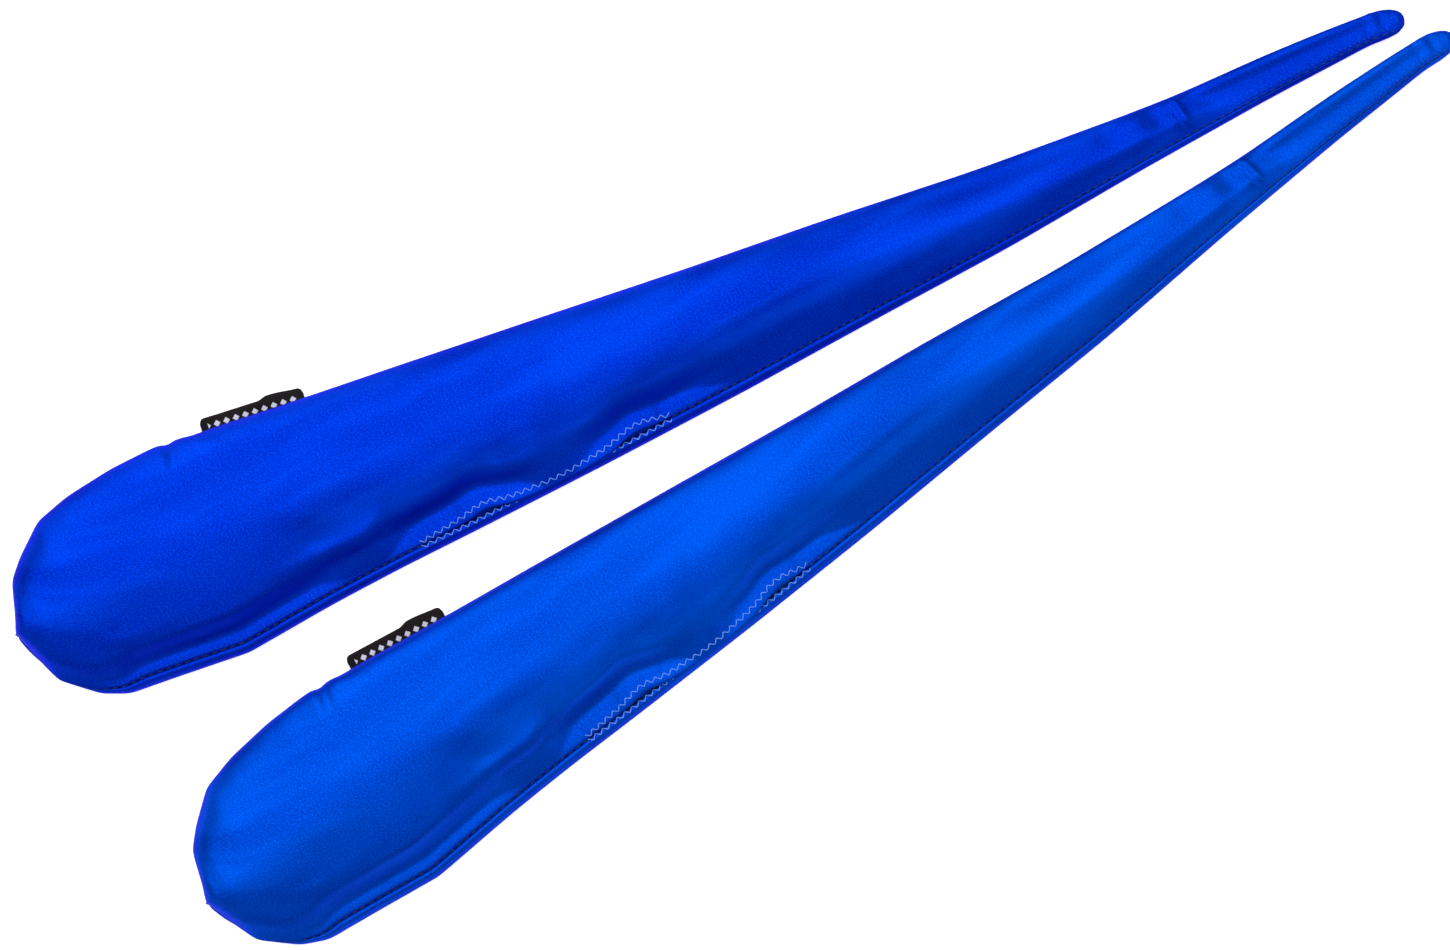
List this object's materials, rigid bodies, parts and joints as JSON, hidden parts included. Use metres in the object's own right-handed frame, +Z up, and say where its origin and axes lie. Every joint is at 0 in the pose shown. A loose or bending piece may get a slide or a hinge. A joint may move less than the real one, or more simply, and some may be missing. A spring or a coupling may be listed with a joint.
{
  "type": "sock poi pair",
  "caption": "Long tapered satin sleeves with a slit side seam, a soft weight in the wide head and a thin tail that folds over.",
  "frame": {"origin": "bottom centre of the pair's box, on the surface that both sock poi lie on", "axes": "+X from the heads to the tips, midway between the two; +Y towards the left one; +Z up"},
  "size_m": [0.7138, 0.2396, 0.028],
  "materials": {
    "satin": "royal blue stretch satin, silky sheen",
    "zigzag_thread": "light blue polyester thread",
    "seam_thread": "dark blue polyester thread",
    "overlock": "dark blue bound cloth edges",
    "label_tape": "near-black woven tape with a plain light pattern",
    "weight_cover": "royal blue satin",
    "pellets": "plastic pellets",
    "weight_thread": "dark blue polyester thread"
  },
  "bodies": {
    "left_sleeve": {"left_front_panel": "satin", "left_back_panel": "satin", "left_front_slit_hem": "satin", "left_back_slit_hem": "satin", "left_front_slit_zigzag": "zigzag_thread", "left_back_slit_zigzag": "zigzag_thread", "left_slit_side_thread": "seam_thread", "left_label_side_thread": "seam_thread", "left_slit_side_overlock": "overlock", "left_label_side_overlock": "overlock"},
    "left_tail": {"left_front_panel_tail": "satin", "left_back_panel_tail": "satin", "left_tail_thread": "seam_thread", "left_tail_overlock": "overlock"},
    "left_label": {"left_label": "label_tape"},
    "left_weight": {"left_weight_top_cover": "weight_cover", "left_weight_bottom_cover": "weight_cover", "left_weight_fill": "pellets", "left_weight_thread": "weight_thread"},
    "right_sleeve": {"right_front_panel": "satin", "right_back_panel": "satin", "right_front_slit_hem": "satin", "right_back_slit_hem": "satin", "right_front_slit_zigzag": "zigzag_thread", "right_back_slit_zigzag": "zigzag_thread", "right_slit_side_thread": "seam_thread", "right_label_side_thread": "seam_thread", "right_slit_side_overlock": "overlock", "right_label_side_overlock": "overlock"},
    "right_tail": {"right_front_panel_tail": "satin", "right_back_panel_tail": "satin", "right_tail_thread": "seam_thread", "right_tail_overlock": "overlock"},
    "right_label": {"right_label": "label_tape"},
    "right_weight": {"right_weight_top_cover": "weight_cover", "right_weight_bottom_cover": "weight_cover", "right_weight_fill": "pellets", "right_weight_thread": "weight_thread"}
  },
  "joints": [
    {"name": "left_tail_fold", "type": "hinge", "parent": "left_sleeve", "child": "left_tail", "pos_m": [0.22929, 0.01696, 0.009], "axis": [-0.0943, -0.9955, 0], "range_deg": [0, 160]},
    {"name": "left_label_flip", "type": "hinge", "parent": "left_sleeve", "child": "left_label", "pos_m": [-0.21235, 0.10519, 0.00045], "axis": [0.9785, -0.2064, 0], "range_deg": [0, 40]},
    {"name": "left_weight_slide", "type": "slide", "parent": "left_sleeve", "child": "left_weight", "axis": [0.9955, -0.0943, 0], "range_m": [0, 0.11]},
    {"name": "right_tail_fold", "type": "hinge", "parent": "right_sleeve", "child": "right_tail", "pos_m": [0.2452, -0.02296, 0.009], "axis": [0.0943, -0.9955, 0], "range_deg": [0, 160]},
    {"name": "right_label_flip", "type": "hinge", "parent": "right_sleeve", "child": "right_label", "pos_m": [-0.20516, -0.0192, 0.00045], "axis": [0.9998, -0.019, 0], "range_deg": [0, 40]},
    {"name": "right_weight_slide", "type": "slide", "parent": "right_sleeve", "child": "right_weight", "axis": [0.9955, 0.0943, 0], "range_m": [0, 0.11]},
    {"name": "right_poi_lift", "type": "slide", "parent": "left_sleeve", "child": "right_sleeve", "axis": [0, 0, 1], "range_m": [0, 0.25]}
  ]
}
